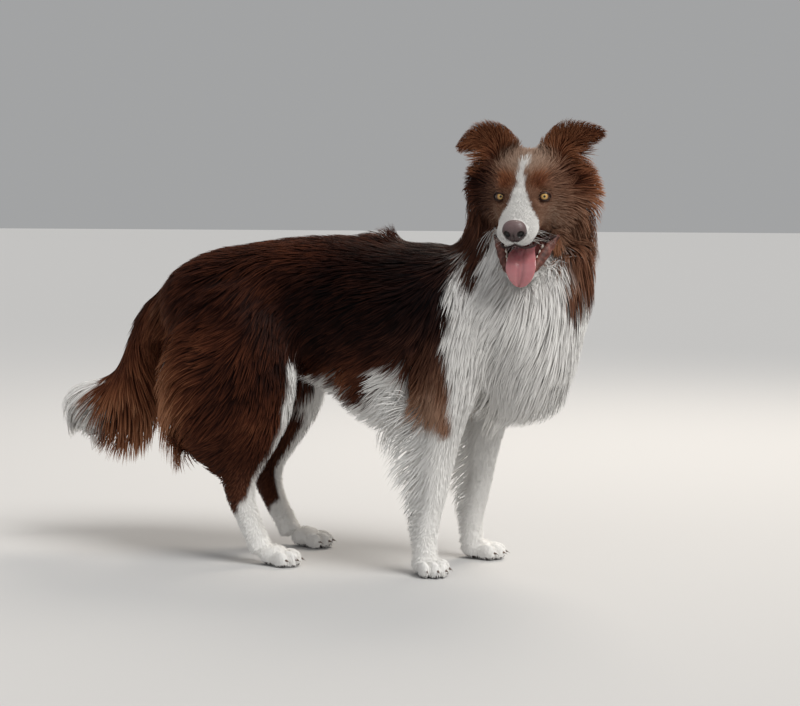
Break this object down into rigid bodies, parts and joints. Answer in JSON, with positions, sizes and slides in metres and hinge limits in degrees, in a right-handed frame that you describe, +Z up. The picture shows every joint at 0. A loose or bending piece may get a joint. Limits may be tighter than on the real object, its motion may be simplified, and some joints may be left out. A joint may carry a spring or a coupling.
{
  "type": "dog",
  "caption": "Standing long-coated herding dog, liver and white, head turned to its right, mouth open with the tongue out.",
  "frame": {"origin": "on the floor, under the middle of the dog's bounding box", "axes": "the dog stands on the floor at z = 0 with +Z up, its trunk faces -Y and its left side is toward +X"},
  "size_m": [0.3184, 0.956, 0.7159],
  "materials": {
    "coat_brown": "long soft liver-brown hair with a light sheen",
    "coat_white": "long soft white hair, short on the feet",
    "eye": "wet amber iris with a dark pupil",
    "nose_leather": "moist pebbled liver-brown nose leather",
    "tongue": "moist pink",
    "claw": "dull brown horn"
  },
  "bodies": {
    "root": {"head": "coat_brown", "jaw": "coat_brown", "neck": "coat_brown", "trunk": "coat_brown", "tail": "coat_brown", "hindleg_left": "coat_brown", "hindleg_right": "coat_brown", "ear_left": "coat_brown", "ear_right": "coat_brown", "foreleg_left": "coat_white", "foreleg_right": "coat_white", "forepaw_left": "coat_white", "forepaw_right": "coat_white", "hindpaw_left": "coat_white", "hindpaw_right": "coat_white", "eye_left": "eye", "eye_right": "eye", "nose": "nose_leather", "tongue": "tongue", "claw_foreleft_1": "claw", "claw_foreleft_2": "claw", "claw_foreleft_3": "claw", "claw_foreleft_4": "claw", "claw_foreright_1": "claw", "claw_foreright_2": "claw", "claw_foreright_3": "claw", "claw_foreright_4": "claw", "claw_hindleft_1": "claw", "claw_hindleft_2": "claw", "claw_hindleft_3": "claw", "claw_hindleft_4": "claw", "claw_hindright_1": "claw", "claw_hindright_2": "claw", "claw_hindright_3": "claw", "claw_hindright_4": "claw"}
  },
  "joints": []
}
